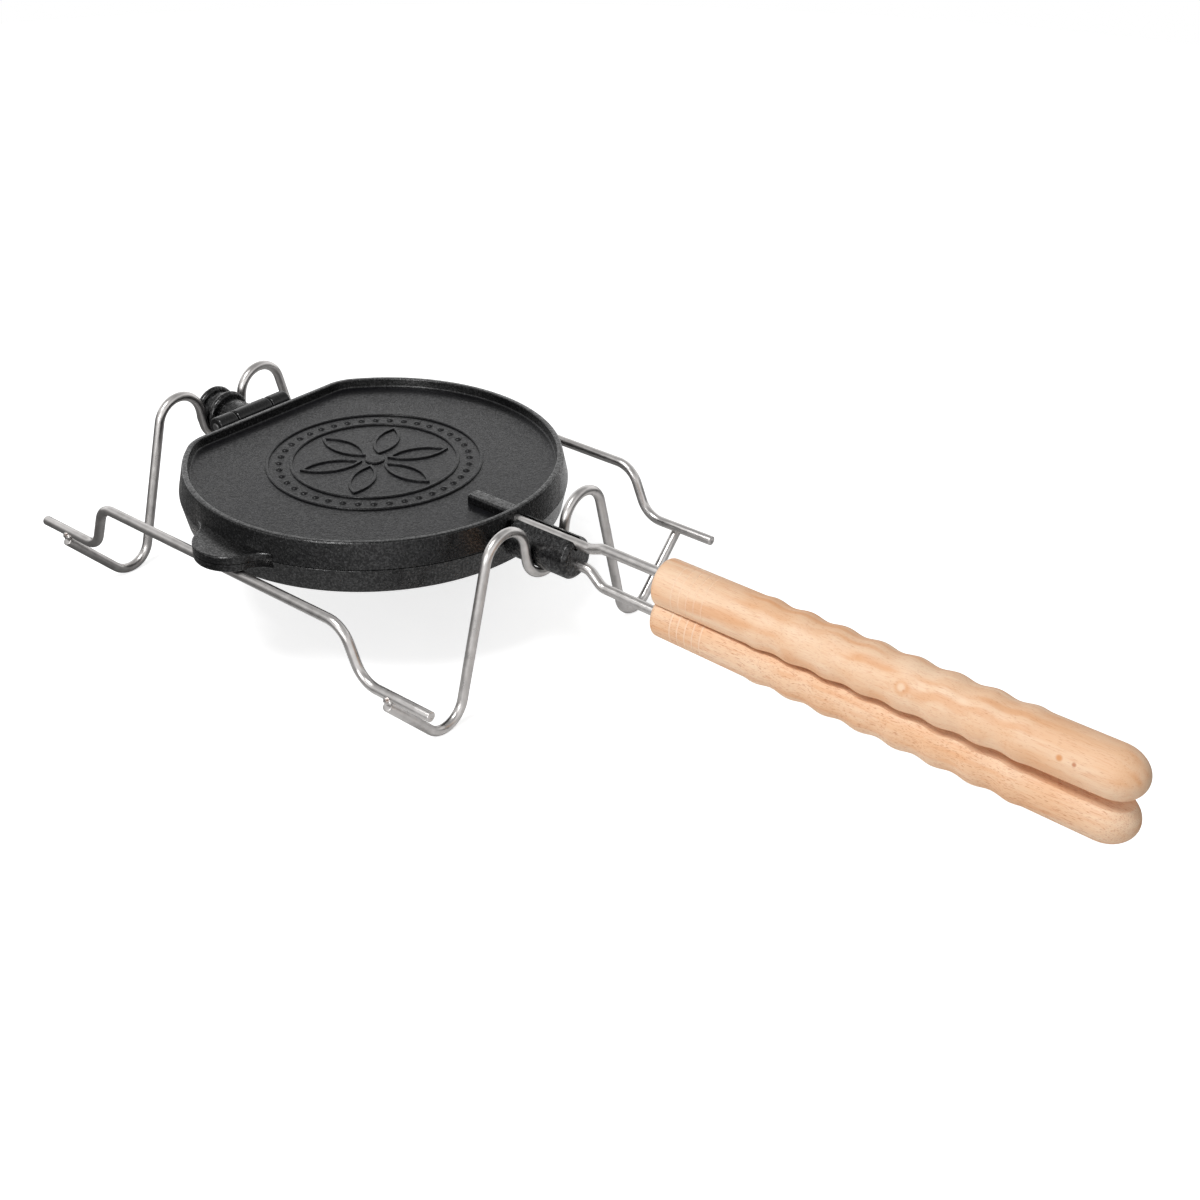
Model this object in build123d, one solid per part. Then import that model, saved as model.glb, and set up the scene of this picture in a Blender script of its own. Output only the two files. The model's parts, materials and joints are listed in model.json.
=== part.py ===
from build123d import *
import math
import os

# Campfire waffle iron. Two cast plates on a hinge close on each other and carry half-round
# beech grips on steel rods. The lower plate has a trunnion at each end, and both lie in a
# stand of bent steel wire, so the closed iron can be turned over above the fire.
# Millimetres. X runs from the hinge end to the grips, Y to the far side, Z up. Pieces are made
# with X = 0 and Y = 0 at the middle of the plates. The stand is made with Z = 0 on the ground,
# and the iron with Z = 0 on its turning axis, which is also the plane where the plates meet.

# Stand of bent wire
wire_diameter = 5.0
axis_height = 69.2
cradle_radius = 10.8
inner_leg = 8.3
inner_lean = 9.2
loop_radius = 11.3
foot_inset = 32.4
foot_radius = 10.5
handle_frame_gap = 15.4
hinge_frame_gap = 36.0
side_wire_gap = 3.6
side_wire_height = 36.8
handle_overhang = 24.5
hinge_overhang = 20.5
handle_jog = 17.7
handle_jog_run = 11.3
handle_jog_radius = 14.0
hinge_jog = 22.4
hinge_jog_run = 9.6
hinge_jog_radius = 11.0
weld_sink = 0.5
weld_setback = 0.7

# Cast plates
plate_radius = 98.0
plate_height = 13.2
wall_lean = 2.8
chord_depth = 14.7
corner_radius = 25.0
parting_gap = 0.3
rim_width = 2.8
recess_depth = 4.6
pan_margin = 10.0
pan_depth = 4.7
pan_lean = 1.2
stud_height = 2.3
stud_pitch = 15.0
stud_top = 8.0
stud_foot = 10.0
stud_margin = 2.0
lobe_x = 2.0
lobe_radius = 19.0
lobe_overhang = 7.4
lobe_thickness = 4.0
lobe_blend = 12.0
lobe_edge = 1.2
rest_gap = 0.4

# Raised rosette on the lid
relief_height = 0.9
relief_line = 1.6
outer_ring = 54.0
inner_ring = 42.0
bead_radius = 1.8
bead_count = 40
petal_count = 6
petal_length = 32.0
petal_width = 13.0
rosette_hub = 5.0
petal_gap = 1.5

# Trunnions of the lower plate
running_gap = 0.3
lid_gap = 0.5
sleeve_length = 35.8
sleeve_chamfer = 2.0
channel_gap = 0.5
spool_play = 0.6
flange_radius = 12.8
flange_width = 4.2
flange_edge = 2.0
neck_radius = 9.5

# Hinge
hinge_offset = 11.2
hinge_rise = 6.0
knuckle_radius = 5.5
arm_rise = 1.0
middle_knuckle = 23.4
outer_knuckle = 12.0
knuckle_gap = 0.3
hinge_block_depth = 9.0
pin_radius = 2.5
pin_overhang = 0.6
pin_clearance = 0.05

# Rods between the plates and the grips
rod_diameter = 5.0
upper_rod_rise = 8.0
upper_rod_hold = 20.0
boss_width = 8.0
boss_end = 5.4
boss_edge = 1.5
lower_rod_drop = 3.0
rod_jog_start = 7.0
rod_jog_length = 7.6
rod_bend = 6.5
upper_rod_at_grip = 10.4
lower_rod_at_grip = -10.8
rod_in_grip = 110.0

# Beech grips
bare_rod = 50.0
grip_length = 229.0
grip_radius = 11.5
grip_flat = 7.7
grip_edge = 2.4
grip_dome = 14.0
tip_flat = 6.0
groove_start = 12.0
groove_step = 4.1
groove_count = 5
groove_width = 0.9
groove_depth = 0.4
wave_start = 55.7
wave_length = 17.66
wave_count = 7
wave_height = 0.6
upper_rod_offset = 3.1
upper_droop = 0.55
lower_rod_offset = -2.2
lower_droop = 1.75

# Places that several pieces share
wire_radius = wire_diameter / 2
rod_radius = rod_diameter / 2
trunnion_radius = cradle_radius - running_gap
chord_x = chord_depth - plate_radius
hinge_x = chord_x - hinge_offset
root_inset = wall_lean + rim_width / 2
hinge_root_x = chord_x + root_inset
handle_frame_x = plate_radius + handle_frame_gap
hinge_frame_x = chord_x - hinge_frame_gap
side_wire_y = plate_radius + side_wire_gap + wire_radius
lobe_reach = side_wire_y + wire_radius + lobe_overhang
sleeve_end = plate_radius + sleeve_length
grip_start = sleeve_end + bare_rod
middle_half = middle_knuckle / 2
outer_half = middle_half + knuckle_gap + outer_knuckle


def round_bar(path, radius):
    """Bar of round section along a path that lies in one plane."""
    return sweep(Plane(path @ 0, z_dir=path % 0) * Circle(radius), path=path)


def bar_along_x(start, end, radius):
    """Round bar on the turning axis."""
    return extrude(Plane.YZ.offset(start) * Circle(radius), amount=end - start)


def unit(angle):
    """Unit vector at an angle in radians."""
    return Vector(math.cos(angle), math.sin(angle))


def bent_path(stops, setback):
    """Straight runs joined by tangent arcs. A stop is a bend's centre and its radius, which is
    positive where the wire turns left. The first and last stops are what the ends run past."""
    headings = []
    for (here, bend), (there, next_bend) in zip(stops, stops[1:]):
        across = there - here
        slant = math.asin((bend - next_bend) / across.length)
        headings.append(math.atan2(across.Y, across.X) + slant)
    corners = []
    for (here, bend), (there, next_bend), heading in zip(stops, stops[1:], headings):
        right = unit(heading - math.pi / 2)
        corners.append([here + right * bend, there + right * next_bend])
    corners[0][0] += unit(headings[0]) * setback
    corners[-1][1] -= unit(headings[-1]) * setback
    path = [Line(*corners[0])]
    for i, (centre, bend) in enumerate(stops[1:-1]):
        middle = centre + unit((headings[i] + headings[i + 1] - math.pi) / 2) * bend
        path.append(ThreePointArc(corners[i][1], middle, corners[i + 1][0]))
        path.append(Line(*corners[i + 1]))
    return path


def end_frame(x):
    """One end of the stand: weld, foot, loop, cradle, loop, foot, weld in a single wire."""
    cradle_bend = cradle_radius + wire_radius
    loop_bend = loop_radius + wire_radius
    foot_bend = foot_radius + wire_radius
    lean = math.radians(inner_lean)
    cradle = Vector(0, axis_height)
    loop = cradle + unit(-lean) * (cradle_bend + loop_bend) + unit(math.pi / 2 - lean) * inner_leg
    foot = Vector(side_wire_y - foot_inset, foot_bend + wire_radius)
    side = Vector(side_wire_y, side_wire_height)
    half = [(loop, -loop_bend), (foot, foot_bend), (side, wire_diameter - weld_sink)]
    other_half = [(Vector(-centre.X, centre.Y), bend) for centre, bend in reversed(half)]
    edges = bent_path(other_half + [(cradle, cradle_bend)] + half, weld_setback)
    plane = Plane((x, 0, 0), x_dir=(0, 1, 0), z_dir=(1, 0, 0))
    return round_bar(plane * Wire(edges), wire_radius)


def side_wire(y):
    """Long wire of the stand, raised along the middle to hold the lobe up level."""
    raised = axis_height - lobe_thickness - rest_gap - wire_radius
    hinge_corner = hinge_frame_x + hinge_jog
    handle_corner = handle_frame_x - handle_jog
    path = Plane.XZ.offset(-y) * FilletPolyline(
        (hinge_frame_x - hinge_overhang, side_wire_height),
        (hinge_corner, side_wire_height),
        (hinge_corner + hinge_jog_run, raised),
        (handle_corner - handle_jog_run, raised),
        (handle_corner, side_wire_height),
        (handle_frame_x + handle_overhang, side_wire_height),
        radius=[hinge_jog_radius, hinge_jog_radius, handle_jog_radius, handle_jog_radius],
    )
    return round_bar(path, wire_radius)


def plate_outline(inset):
    """Round plate with a straight side towards the hinge, drawn in by an inset."""
    keep = Rectangle(3 * plate_radius, 3 * plate_radius, align=(Align.MIN, Align.CENTER))
    outline = Circle(plate_radius - inset) & Pos(chord_x + inset, 0) * keep
    corners = outline.vertices().group_by(Axis.X)[0]
    return fillet(corners, corner_radius - inset)


def lean_angle(inset, depth):
    """Taper in degrees that draws a wall in by an inset over a depth."""
    return math.degrees(math.atan(inset / depth))


def lobe():
    """Flat tab on the front edge of a plate, blended into the round."""
    tab = Pos(lobe_x, lobe_radius - lobe_reach) * Circle(lobe_radius)
    base = parting_gap / 2
    slab = extrude(Pos(0, 0, base) * (Circle(plate_radius) + tab), amount=lobe_thickness - base)
    notches = [edge for edge in slab.edges().filter_by(Axis.Z) if edge.center().Y < -plate_radius / 2]
    slab = fillet(notches, lobe_blend)
    slab -= Cylinder(plate_radius - pan_margin / 2, plate_height)
    slab &= Pos(lobe_x, -lobe_reach, 0) * Cylinder(lobe_radius + 2 * lobe_blend, plate_height)
    rim = slab.edges().filter_by(GeomType.CIRCLE).group_by(Axis.Z)[-1]
    return fillet(rim.filter_by(lambda edge: edge.radius < plate_radius / 2), lobe_edge)


def pan():
    """Shallow pan with drafted walls, less the studs that stand on its floor."""
    floor = Pos(0, 0, pan_depth) * plate_outline(pan_margin + pan_lean)
    hollow = extrude(floor, amount=-pan_depth, taper=-lean_angle(pan_lean, pan_depth))
    foot = Pos(0, 0, pan_depth) * Rectangle(stud_foot, stud_foot)
    stud_lean = lean_angle((stud_foot - stud_top) / 2, stud_height)
    stud = extrude(foot, amount=-stud_height, taper=stud_lean)
    margin = pan_margin + pan_lean + stud_margin
    count = int(plate_radius / stud_pitch)
    studs = []
    for column in range(-count, count + 1):
        for row in range(-count, count + 1):
            x = column * stud_pitch
            y = row * stud_pitch
            corner = math.hypot(abs(x) + stud_foot / 2, abs(y) + stud_foot / 2)
            if corner < plate_radius - margin and x - stud_foot / 2 > chord_x + margin:
                studs.append(Pos(x, y) * stud)
    return hollow - studs


def half_plate():
    """What both plates share, made as the upper one: wall, outer recess, studded pan, lobe."""
    base = parting_gap / 2
    wall = plate_height - base
    slab = extrude(Pos(0, 0, base) * plate_outline(0), amount=wall, taper=lean_angle(wall_lean, wall))
    slab += lobe()
    recess = Pos(0, 0, plate_height - recess_depth) * plate_outline(wall_lean + rim_width)
    return slab - extrude(recess, amount=recess_depth) - pan()


def rosette():
    """Raised ornament: six petals, a hub and a beaded ring."""
    shape = Circle(rosette_hub)
    for ring in (outer_ring, inner_ring):
        shape += Circle(ring + relief_line / 2) - Circle(ring - relief_line / 2)
    half_width = petal_width / 2
    arc_radius = (petal_length ** 2 / 4 + half_width ** 2) / petal_width
    offset = arc_radius - half_width
    petal = Pos(0, offset) * Circle(arc_radius) & Pos(0, -offset) * Circle(arc_radius)
    inside = Pos(0, offset) * Circle(arc_radius - relief_line)
    inside &= Pos(0, -offset) * Circle(arc_radius - relief_line)
    petal = Pos(rosette_hub + petal_gap + petal_length / 2, 0) * (petal - inside)
    for turn in range(petal_count):
        shape += Rot(Z=360 * turn / petal_count) * petal
    bead_circle = (outer_ring + inner_ring) / 2
    for turn in range(bead_count):
        shape += Rot(Z=360 * turn / bead_count) * Pos(bead_circle, 0) * Circle(bead_radius)
    floor = plate_height - recess_depth
    return extrude(Pos(0, 0, floor) * shape, amount=relief_height)


def hinge_side(profile, half_width, inner=0):
    """Piece of the hinge with one profile in XZ, the same on both sides of the middle."""
    solid = extrude(Plane.XZ * profile, amount=half_width, both=True)
    if inner:
        solid -= extrude(Plane.XZ * profile, amount=inner, both=True)
    return solid


def pin_circle(radius):
    """Circle about the hinge pin, in the XZ plane."""
    return Pos(hinge_x, hinge_rise) * Circle(radius)


def span(x0, x1, z0, z1):
    """Rectangle in the XZ plane between two corners."""
    return Pos((x0 + x1) / 2, (z0 + z1) / 2) * Rectangle(x1 - x0, z1 - z0)


def lid_knuckles():
    """Two outer knuckles and the arms that join them to the lid."""
    arm = span(hinge_x, hinge_root_x, hinge_rise - knuckle_radius, hinge_rise + arm_rise)
    profile = pin_circle(knuckle_radius) + arm
    return hinge_side(profile, outer_half, middle_half + knuckle_gap)


def hinge_block():
    """Middle knuckle on its block, which grows out of the lower plate."""
    left = hinge_x - knuckle_radius
    post = span(left, hinge_x + knuckle_radius, -hinge_block_depth, hinge_rise)
    foot = span(left, hinge_root_x, -hinge_block_depth, -parting_gap / 2)
    return hinge_side(pin_circle(knuckle_radius) + post + foot, middle_half)


def spool():
    """Hinge-end trunnion: a hub between two flanges that keep the iron from sliding."""
    groove = wire_radius + spool_play
    inner = hinge_frame_x + groove
    outer = hinge_frame_x - groove
    flange = bar_along_x(inner, inner + flange_width, flange_radius)
    flange = fillet(flange.edges().filter_by(GeomType.CIRCLE), flange_edge)
    neck = bar_along_x(inner, hinge_x, neck_radius)
    hub = bar_along_x(outer - flange_width / 2, inner + flange_width / 2, trunnion_radius)
    return neck + hub + flange + Pos(outer - flange_width - inner, 0, 0) * flange


def sleeve():
    """Handle-end trunnion, open on top where the upper rod drops into it."""
    start = plate_radius - root_inset
    boss = bar_along_x(start, sleeve_end, trunnion_radius)
    boss = chamfer(boss.edges().filter_by(GeomType.CIRCLE).sort_by(Axis.X)[-1], sleeve_chamfer)
    floor = upper_rod_rise - rod_radius - channel_gap
    channel = Box(2 * sleeve_end, rod_diameter + 2 * channel_gap, cradle_radius,
                  align=(Align.CENTER, Align.CENTER, Align.MIN))
    lid_room = Cylinder(plate_radius + lid_gap, plate_height,
                        align=(Align.CENTER, Align.CENTER, Align.MIN))
    return boss - Pos(0, 0, floor) * channel - Pos(0, 0, -parting_gap / 2) * lid_room


def upper_plate():
    """Lid with its rosette, rod boss and outer knuckles."""
    rim_inside = plate_radius - wall_lean - rim_width
    start = rim_inside - upper_rod_hold - boss_end
    floor = plate_height - recess_depth
    end = plate_radius - root_inset
    bar = Box(end - start, boss_width, recess_depth, align=(Align.MIN, Align.CENTER, Align.MIN))
    tip = bar.edges().filter_by(Axis.Z).group_by(Axis.X)[0]
    boss = Pos(start, 0, floor) * fillet(tip, boss_edge)
    plate = half_plate() + boss + rosette() + lid_knuckles()
    plate -= upper_rod()
    return plate - hinge_side(pin_circle(pin_radius), outer_half)


def lower_plate():
    """Lower plate with both trunnions and the middle knuckle."""
    plate = mirror(half_plate(), about=Plane.XY) + hinge_block() + spool() + sleeve()
    plate -= lower_rod()
    return plate - hinge_side(pin_circle(pin_radius + pin_clearance), middle_half)


def hinge_pin():
    """Pin that is fixed in the lid's knuckles and turns in the middle one."""
    return hinge_side(pin_circle(pin_radius), outer_half + pin_overhang)


def grip_line(height, droop, distance):
    """Point on a rod's line inside its grip, at a distance along X from the grip's face."""
    return (grip_start + distance, height - distance * math.tan(math.radians(droop)))


def bent_rod(start, height, at_grip, droop):
    """Rod that leaves its plate level, steps to the grip's line and runs on inside the grip."""
    jog = sleeve_end + rod_jog_start
    path = Plane.XZ * FilletPolyline(
        (start, height),
        (jog, height),
        grip_line(at_grip, droop, jog + rod_jog_length - grip_start),
        grip_line(at_grip, droop, rod_in_grip),
        radius=rod_bend,
    )
    return round_bar(path, rod_radius)


def upper_rod():
    """Rod of the lid, held in the boss of the recess."""
    start = plate_radius - wall_lean - rim_width - upper_rod_hold
    return bent_rod(start, upper_rod_rise, upper_rod_at_grip, upper_droop)


def lower_rod():
    """Rod of the lower plate, held in the sleeve."""
    start = plate_radius + lid_gap
    return bent_rod(start, -lower_rod_drop, lower_rod_at_grip, lower_droop)


def turned_grip():
    """Turned grip with its flat below, from X = 0, before the rod's bore is made."""
    profile = [Line((0, 0), (0, grip_radius - grip_edge))]
    profile.append(RadiusArc((0, grip_radius - grip_edge), (grip_edge, grip_radius), grip_edge))
    here = (grip_edge, grip_radius)
    for i in range(groove_count):
        middle = groove_start + i * groove_step
        rim = (middle - groove_width / 2, grip_radius)
        deep = (middle, grip_radius - groove_depth)
        back = (middle + groove_width / 2, grip_radius)
        profile += [Line(here, rim), Line(rim, deep), Line(deep, back)]
        here = back
    lead = wave_length / 3
    knots = [(wave_start - lead, grip_radius)]
    for i in range(2 * wave_count + 1):
        height = wave_height if i % 2 == 0 else -wave_height
        knots.append((wave_start + i * wave_length / 2, grip_radius + height))
    knots.append((wave_start + wave_count * wave_length + lead, grip_radius))
    profile.append(Line(here, knots[0]))
    for near, far in zip(knots, knots[1:]):
        run = (far[0] - near[0]) / 2
        rise = (far[1] - near[1]) / 2
        bend = (run ** 2 + rise ** 2) / (2 * abs(rise))
        turn = math.degrees(2 * math.atan2(rise, run))
        first = JernArc(near, (1, 0), bend, turn)
        profile += [first, JernArc(first @ 1, first % 1, bend, -turn)]
    dome_x = grip_length - grip_dome
    profile.append(Line(knots[-1], (dome_x, grip_radius)))
    dome = EllipticalCenterArc((dome_x, 0), grip_dome, grip_radius, tip_flat, arc_size=90 - tip_flat)
    tip = (dome @ 0).X
    profile += [dome, Line((tip, (dome @ 0).Y), (tip, 0)), Line((tip, 0), (0, 0))]
    turned = revolve(Plane.XZ * make_face(profile), Axis.X)
    below = Box(3 * grip_length, 3 * grip_radius, grip_radius,
                align=(Align.CENTER, Align.CENTER, Align.MAX))
    return turned - Pos(0, 0, -grip_flat) * below


def placed_grip(grip, rod, rod_offset, at_grip, droop):
    """Grip set along its rod, with the rod's bore taken out."""
    return Pos(grip_start, 0, at_grip - rod_offset) * Rot(Y=droop) * grip - rod


def upper_grip():
    """Grip of the lid, flat side down."""
    return placed_grip(turned_grip(), upper_rod(), upper_rod_offset, upper_rod_at_grip, upper_droop)


def lower_grip():
    """Grip of the lower plate, flat side up."""
    grip = mirror(turned_grip(), about=Plane.XY)
    return placed_grip(grip, lower_rod(), lower_rod_offset, lower_rod_at_grip, lower_droop)


lift = Pos(0, 0, axis_height)
nodes = {
    "handle_end_frame": end_frame(handle_frame_x),
    "hinge_end_frame": end_frame(hinge_frame_x),
    "front_side_wire": side_wire(-side_wire_y),
    "rear_side_wire": side_wire(side_wire_y),
    "lower_plate": lift * lower_plate(),
    "lower_rod": lift * lower_rod(),
    "lower_grip": lift * lower_grip(),
    "upper_plate": lift * upper_plate(),
    "hinge_pin": lift * hinge_pin(),
    "upper_rod": lift * upper_rod(),
    "upper_grip": lift * upper_grip(),
}

# The origin of the finished part is on the ground, under the middle of its bounding box.
whole = Compound(list(nodes.values())).bounding_box()
shift = Pos(-whole.center().X, -whole.center().Y, -whole.min.Z)
os.makedirs("parts", exist_ok=True)
for name, shape in nodes.items():
    export_step(shift * shape, f"parts/{name}.step")
print("moved by", shift.position)
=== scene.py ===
import cmath
import json
import math
import bmesh
import bpy
from mathutils import Matrix, Vector


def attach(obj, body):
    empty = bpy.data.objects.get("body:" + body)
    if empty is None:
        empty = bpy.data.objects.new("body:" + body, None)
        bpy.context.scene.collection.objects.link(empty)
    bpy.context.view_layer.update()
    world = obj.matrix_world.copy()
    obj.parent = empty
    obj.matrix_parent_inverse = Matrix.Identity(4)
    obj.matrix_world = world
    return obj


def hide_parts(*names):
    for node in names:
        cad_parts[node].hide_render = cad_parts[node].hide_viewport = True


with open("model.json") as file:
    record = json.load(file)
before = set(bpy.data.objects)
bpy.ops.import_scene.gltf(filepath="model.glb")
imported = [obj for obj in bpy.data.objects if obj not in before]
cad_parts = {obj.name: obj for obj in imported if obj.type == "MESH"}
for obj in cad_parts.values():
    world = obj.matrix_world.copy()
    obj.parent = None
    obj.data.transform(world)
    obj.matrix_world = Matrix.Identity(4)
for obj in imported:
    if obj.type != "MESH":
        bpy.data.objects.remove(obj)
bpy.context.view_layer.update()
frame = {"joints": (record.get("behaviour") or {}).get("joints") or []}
print("frame loaded")

# Pieces are drawn in millimetres, with X and Y from the middle of the plates and Z from the
# turning axis, and moved into the frame when they are finished.
joints = {joint["name"]: joint for joint in frame["joints"]}
middle = Vector(joints["turn"]["pos_m"])
hingePin = (Vector(joints["open"]["pos_m"]) - middle) * 1000
axisHeight = middle.z * 1000
toFrame = Matrix.Translation(middle) @ Matrix.Scale(0.001, 4)
origin = Vector((0, 0, 0))
plusX = Vector((1, 0, 0))
plusY = Vector((0, 1, 0))
plusZ = Vector((0, 0, 1))


# Materials

class Shader:
    # wraps a socket, so that shader maths reads as plain sums
    def __init__(self, graph, socket):
        self.graph = graph
        self.socket = socket

    def math(self, operation, *others):
        return self.graph.add("ShaderNodeMath", {"operation": operation}, [self, *others])

    def __add__(self, other):
        return self.math("ADD", other)

    def __sub__(self, other):
        return self.math("SUBTRACT", other)

    def __mul__(self, other):
        return self.math("MULTIPLY", other)

    def __radd__(self, other):
        return self + other

    def __rmul__(self, other):
        return self * other

    def __rsub__(self, other):
        return self.graph.add("ShaderNodeMath", {"operation": "SUBTRACT"}, [other, self])

    def between(self, low, high):
        # 0 below low, 1 above high, with a soft step
        settings = {"interpolation_type": "SMOOTHSTEP"}
        sockets = {"Value": self, "From Min": low, "From Max": high}
        return self.graph.add("ShaderNodeMapRange", settings, sockets)

    def sway(self, amount):
        # noise lies about 0.5, so this takes away as much as it adds
        return (self - 0.5) * amount


class Graph:
    # the nodes of a material or of the world
    def __init__(self, owner, shaderName):
        owner.use_nodes = True
        self.owner = owner
        self.tree = owner.node_tree
        self.shader = self.tree.nodes[shaderName]

    def put(self, socket, value):
        if isinstance(value, Shader):
            self.tree.links.new(value.socket, socket)
        else:
            socket.default_value = value

    def add(self, kind, settings, sockets, output=0):
        node = self.tree.nodes.new(kind)
        for name, value in settings.items():
            setattr(node, name, value)
        pairs = sockets.items() if isinstance(sockets, dict) else enumerate(sockets)
        for key, value in pairs:
            self.put(node.inputs[key], value)
        return Shader(self, node.outputs[output])

    def finish(self, sockets):
        for name, value in sockets.items():
            self.put(self.shader.inputs[name], value)
        return self.owner

    def coordinates(self, kind="Object"):
        return self.add("ShaderNodeTexCoord", {}, {}, kind)

    def rayIs(self, kind):
        return self.add("ShaderNodeLightPath", {}, {}, f"Is {kind} Ray")

    def axis(self, place, letter):
        return self.add("ShaderNodeSeparateXYZ", {}, {"Vector": place}, letter)

    def scaled(self, along, across=None):
        # the object's place in units of the given millimetres, along X and across it
        across = across or along
        sockets = {"Vector": self.coordinates(), "Scale": (1000 / along, 1000 / across, 1000 / across)}
        return self.add("ShaderNodeMapping", {}, sockets)

    def noise(self, place, detail=2.0, roughness=0.5):
        sockets = {"Vector": place, "Scale": 1.0, "Detail": detail, "Roughness": roughness}
        return self.add("ShaderNodeTexNoise", {}, sockets)

    def vector(self, operation, first, second=None, output=0):
        sockets = [first] if second is None else [first, second]
        return self.add("ShaderNodeVectorMath", {"operation": operation}, sockets, output)

    def mix(self, factor, first, second):
        # 0, 6 and 7 are the colour sockets of the node, and 2 its colour output
        return self.add("ShaderNodeMix", {"data_type": "RGBA"}, {0: factor, 6: first, 7: second}, 2)

    def bump(self, height, millimetres, under=None):
        sockets = {"Height": height, "Distance": millimetres / 1000}
        if under:
            sockets["Normal"] = under
        return self.add("ShaderNodeBump", {}, sockets)


def newMaterial(name):
    return Graph(bpy.data.materials.new(name), "Principled BSDF")


def colour(red, green, blue):
    # a screen colour from 0 to 255, as the shader's own linear light
    def linear(part):
        part /= 255
        return part / 12.92 if part <= 0.04045 else ((part + 0.055) / 1.055) ** 2.4
    return (linear(red), linear(green), linear(blue), 1.0)


def castIronMaterial(name, look):
    # black seasoning, whose gloss comes and goes with the grain of the casting, with painted glints as
    # lighter specks on the grain
    graph = newMaterial(name)
    grain = graph.noise(graph.scaled(look["grain"]), detail=3, roughness=0.6)
    sand = graph.noise(graph.scaled(look["sand"]))
    patch = graph.noise(graph.scaled(look["patch"]), detail=3)
    shade = graph.mix(patch.between(*look["patchSpread"]), look["dark"], look["light"])
    # lighter specks on the peaks of the grain are painted glints, standing in for light caught by the grain
    paintedGlints = grain.between(*look["paintedGlintSpread"]) * look["paintedGlintShare"]
    oiled = (grain * look["oilGrain"] + sand * (1 - look["oilGrain"])).between(*look["oilSpread"])
    return graph.finish({
        "Base Color": graph.mix(paintedGlints, shade, look["paintedGlint"]),
        "Roughness": look["roughness"] + grain.sway(look["grainSway"]) + patch.sway(look["patchSway"]),
        "Normal": graph.bump(grain, look["grainDepth"], graph.bump(sand, look["sandDepth"])),
        "Specular IOR Level": look["gloss"],
        "Coat Weight": look["oilLow"] + oiled * look["oilRange"],
        "Coat Roughness": look["oilRoughness"],
    })


# sizes and depths in millimetres
castIronLook = {
    "grain": 1.05, "grainDepth": 0.18, "sand": 3.4, "sandDepth": 0.2, "patch": 34,
    "dark": colour(2, 2, 3), "light": colour(4, 4, 5), "patchSpread": (0.32, 0.7),
    # the lighter speck colour is a painted glint on the grain
    "paintedGlint": colour(56, 56, 58), "paintedGlintSpread": (0.6, 0.7), "paintedGlintShare": 0.6,
    "roughness": 0.28, "grainSway": 0.3, "patchSway": 0.12, "gloss": 0.2,
    "oilGrain": 0.85, "oilSpread": (0.45, 0.57), "oilRoughness": 0.18, "oilLow": 0.3, "oilRange": 0.7,
}
castWall = castIronMaterial("castIronWall", castIronLook)
castFloor = castIronMaterial("castIronFloor", castIronLook | {
    "grain": 1.1, "grainDepth": 0.3, "sand": 3.0, "roughness": 0.34, "gloss": 0.17, "paintedGlintShare": 0.5,
    "oilLow": 0.1, "oilRange": 0.3,
    "dark": colour(9, 9, 11), "light": colour(14, 14, 17), "paintedGlint": colour(46, 46, 52),
})
castRough = castIronMaterial("castIronRough", castIronLook | {
    # the trunnions get brighter painted glints than the walls
    "grain": 1.5, "grainDepth": 0.5, "sandDepth": 0.5, "roughness": 0.26, "paintedGlint": colour(74, 74, 76),
})
castSmooth = castIronMaterial("castIronSmooth", castIronLook | {
    "grain": 0.9, "grainDepth": 0.1, "sandDepth": 0.1, "roughness": 0.24, "paintedGlintShare": 0.2,
    "oilLow": 0.35, "oilRange": 0.2, "oilRoughness": 0.16,
})
castIron = [castWall, castFloor, castRough, castSmooth]
floorFinish, trunnionFinish, knuckleFinish = 1, 2, 3    # places in castIron; the walls keep 0


def steelMaterial(name, look):
    graph = newMaterial(name)
    mottle = graph.noise(graph.scaled(look["mottle"]), detail=3)
    drift = graph.noise(graph.scaled(look["drift"]))
    heat = graph.add("ShaderNodeAttribute", {"attribute_name": "weldHeat"}, {}, "Fac")
    blend = mottle * look["mottleShare"] + drift * (1 - look["mottleShare"])
    tone = blend.between(*look["spread"])
    shade = graph.mix(tone, look["dark"], look["light"])
    return graph.finish({
        "Base Color": graph.mix(heat, shade, look["burnt"]),
        "Metallic": 1.0,
        "Roughness": look["roughness"] + mottle.sway(look["mottleSway"]) + heat * look["heatRough"],
        "Normal": graph.bump(mottle, look["depth"]),
    })


steelLook = {
    "mottle": 4.5, "drift": 42, "mottleShare": 0.6, "spread": (0.36, 0.64), "depth": 0.012,
    "roughness": 0.3, "mottleSway": 0.14, "heatRough": 0.3,
    "dark": colour(188, 185, 183), "light": colour(206, 203, 201), "burnt": colour(92, 62, 42),
}
steel = steelMaterial("satinSteel", steelLook)
pinSteel = steelMaterial("brightSteel", steelLook | {
    "roughness": 0.45, "dark": colour(96, 96, 96), "light": colour(126, 126, 126),
})


def grooveCuts(graph, first, step, count):
    # 1 in the turned grooves of a grip and 0 beside them, along the object's X
    along = graph.axis(graph.coordinates(), "X")
    last = first + (count - 1) * step
    cuts = ((along - first) * (math.tau / step)).math("COSINE").between(0.75, 1.0)
    begun = along.between(first - 0.5 * step, first - 0.49 * step)
    ended = along.between(last + 0.49 * step, last + 0.5 * step)
    return cuts * begun * (1 - ended)


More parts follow.
